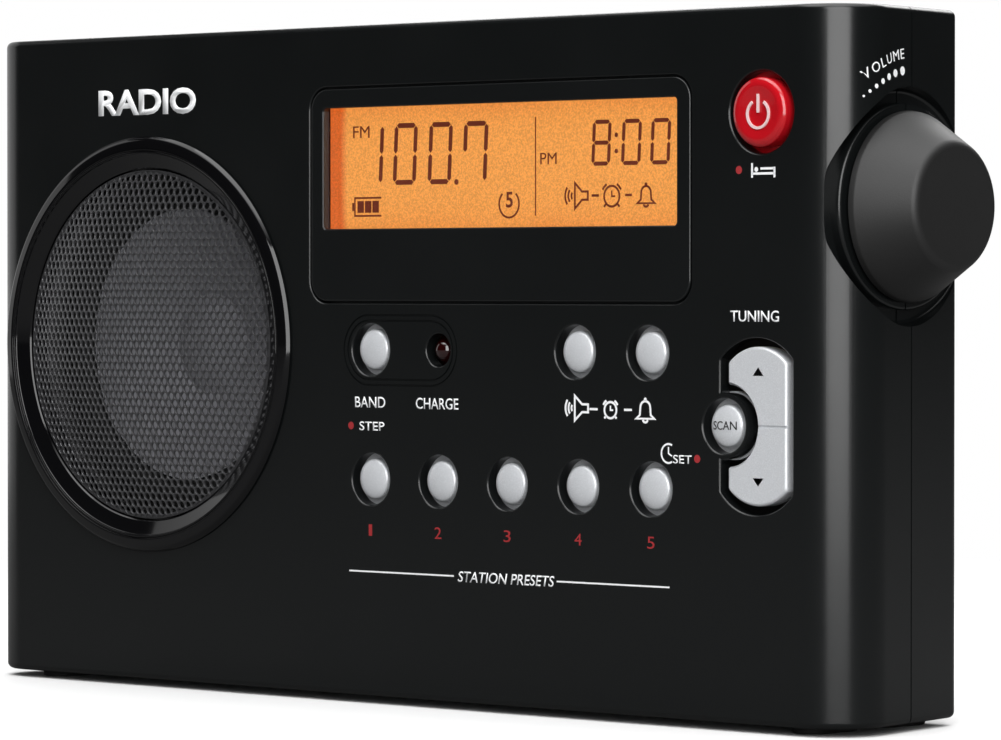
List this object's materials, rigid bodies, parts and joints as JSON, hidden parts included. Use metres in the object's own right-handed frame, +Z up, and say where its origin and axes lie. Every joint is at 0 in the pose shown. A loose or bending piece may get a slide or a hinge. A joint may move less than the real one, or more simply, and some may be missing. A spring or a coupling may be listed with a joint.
{
  "type": "tabletop radio",
  "caption": "Compact portable tabletop radio with a round grille, a lit display, push buttons, a tuning rocker, a side volume knob, a battery bay and a folding telescopic aerial.",
  "frame": {"origin": "centre of the bounding box at the height of the feet's undersides, on the surface it stands on", "axes": "+X to the volume-knob side, +Y to the back (the display and buttons face -Y), +Z up"},
  "size_m": [0.1992, 0.0488, 0.1092],
  "materials": {
    "satin_black": "satin, finely textured",
    "gloss_black": "gloss",
    "black_mesh": "satin paint",
    "soft_black": "soft touch",
    "silver": "metallic satin",
    "red": "gloss",
    "cone_paper": "matt",
    "plated_steel": "plated",
    "ferrite": "matt",
    "copper_wire": "enamelled wire",
    "circuit_board": "solder mask",
    "clear_lens": "clear",
    "lcd": "satin",
    "backlight": "lit",
    "led_red": "clear dark red",
    "cell_jacket": "printed sleeve"
  },
  "bodies": {
    "casing": {"aerial_coil": "copper_wire", "battery_cell_1": "cell_jacket", "battery_cell_2": "cell_jacket", "battery_cell_3": "cell_jacket", "battery_cell_4": "cell_jacket", "battery_contact_left": "plated_steel", "battery_contact_right": "plated_steel", "case_screw_high_left": "plated_steel", "case_screw_high_right": "plated_steel", "case_screw_low_left": "plated_steel", "case_screw_low_right": "plated_steel", "charge_led": "led_red", "dc_jack": "gloss_black", "display_lens": "clear_lens", "display_plate": "satin_black", "ferrite_rod": "ferrite", "foot_front_left": "soft_black", "foot_front_right": "soft_black", "foot_rear_left": "soft_black", "foot_rear_right": "soft_black", "front_shell": "satin_black", "headphone_jack": "gloss_black", "key_mat": "soft_black", "lcd_backlight": "backlight", "lcd_panel": "lcd", "line_in_jack": "gloss_black", "main_board": "circuit_board", "power_switch": "soft_black", "rear_shell": "satin_black", "rocker_pin": "plated_steel", "speaker_basket": "plated_steel", "speaker_bezel": "gloss_black", "speaker_cone": "cone_paper", "speaker_grille": "black_mesh", "speaker_magnet": "ferrite", "speaker_surround": "soft_black", "volume_control": "plated_steel"},
    "volume": {"volume_knob": "soft_black", "volume_shaft": "plated_steel"},
    "power_button": {"power_button": "red"},
    "band_button": {"band_button": "silver"},
    "scan_button": {"scan_button": "silver"},
    "alarm_button_1": {"alarm_button_1": "silver"},
    "alarm_button_2": {"alarm_button_2": "silver"},
    "preset_button_1": {"preset_button_1": "silver"},
    "preset_button_2": {"preset_button_2": "silver"},
    "preset_button_3": {"preset_button_3": "silver"},
    "preset_button_4": {"preset_button_4": "silver"},
    "preset_button_5": {"preset_button_5": "silver"},
    "tuning_rocker": {"tuning_rocker": "silver"},
    "battery_door": {"battery_door": "satin_black"},
    "aerial_turret": {"aerial_turret": "gloss_black", "aerial_pin": "plated_steel", "aerial_ring": "plated_steel"},
    "aerial_section_1": {"aerial_section_1": "plated_steel"},
    "aerial_section_2": {"aerial_section_2": "plated_steel"},
    "aerial_section_3": {"aerial_section_3": "plated_steel"}
  },
  "joints": [
    {"name": "volume_turn", "type": "hinge", "parent": "casing", "child": "volume", "pos_m": [0.09035, -0.00245, 0.0791], "axis": [1, 0, 0], "range_deg": [-140, 140]},
    {"name": "power_button_press", "type": "slide", "parent": "casing", "child": "power_button", "axis": [0, 1, 0], "range_m": [0, 0.0006], "stiffness_N_per_m": 900},
    {"name": "band_button_press", "type": "slide", "parent": "casing", "child": "band_button", "axis": [0, 1, 0], "range_m": [0, 0.0006], "stiffness_N_per_m": 900},
    {"name": "scan_button_press", "type": "slide", "parent": "casing", "child": "scan_button", "axis": [0, 1, 0], "range_m": [0, 0.0006], "stiffness_N_per_m": 900},
    {"name": "alarm_button_1_press", "type": "slide", "parent": "casing", "child": "alarm_button_1", "axis": [0, 1, 0], "range_m": [0, 0.0006], "stiffness_N_per_m": 900},
    {"name": "alarm_button_2_press", "type": "slide", "parent": "casing", "child": "alarm_button_2", "axis": [0, 1, 0], "range_m": [0, 0.0006], "stiffness_N_per_m": 900},
    {"name": "preset_button_1_press", "type": "slide", "parent": "casing", "child": "preset_button_1", "axis": [0, 1, 0], "range_m": [0, 0.0006], "stiffness_N_per_m": 900},
    {"name": "preset_button_2_press", "type": "slide", "parent": "casing", "child": "preset_button_2", "axis": [0, 1, 0], "range_m": [0, 0.0006], "stiffness_N_per_m": 900},
    {"name": "preset_button_3_press", "type": "slide", "parent": "casing", "child": "preset_button_3", "axis": [0, 1, 0], "range_m": [0, 0.0006], "stiffness_N_per_m": 900},
    {"name": "preset_button_4_press", "type": "slide", "parent": "casing", "child": "preset_button_4", "axis": [0, 1, 0], "range_m": [0, 0.0006], "stiffness_N_per_m": 900},
    {"name": "preset_button_5_press", "type": "slide", "parent": "casing", "child": "preset_button_5", "axis": [0, 1, 0], "range_m": [0, 0.0006], "stiffness_N_per_m": 900},
    {"name": "tuning_rock", "type": "hinge", "parent": "casing", "child": "tuning_rocker", "pos_m": [0.07575, -0.01545, 0.0461], "axis": [1, 0, 0], "range_deg": [-3.5, 3.5], "stiffness_Nm_per_rad": 0.1},
    {"name": "battery_door_swing", "type": "hinge", "parent": "casing", "child": "battery_door", "pos_m": [-0.00355, 0.02435, 0.007], "axis": [-1, 0, 0], "range_deg": [0, 90]},
    {"name": "aerial_swivel", "type": "hinge", "parent": "casing", "child": "aerial_turret", "pos_m": [-0.07155, 0.01855, 0.1042], "axis": [0, 0, 1], "range_deg": [0, 180]},
    {"name": "aerial_tilt", "type": "hinge", "parent": "aerial_turret", "child": "aerial_section_1", "pos_m": [-0.07155, 0.01855, 0.1042], "axis": [0, -1, 0], "range_deg": [0, 90]},
    {"name": "aerial_draw_2", "type": "slide", "parent": "aerial_section_1", "child": "aerial_section_2", "axis": [1, 0, 0], "range_m": [0, 0.08]},
    {"name": "aerial_draw_3", "type": "slide", "parent": "aerial_section_2", "child": "aerial_section_3", "axis": [1, 0, 0], "range_m": [0, 0.08]}
  ]
}
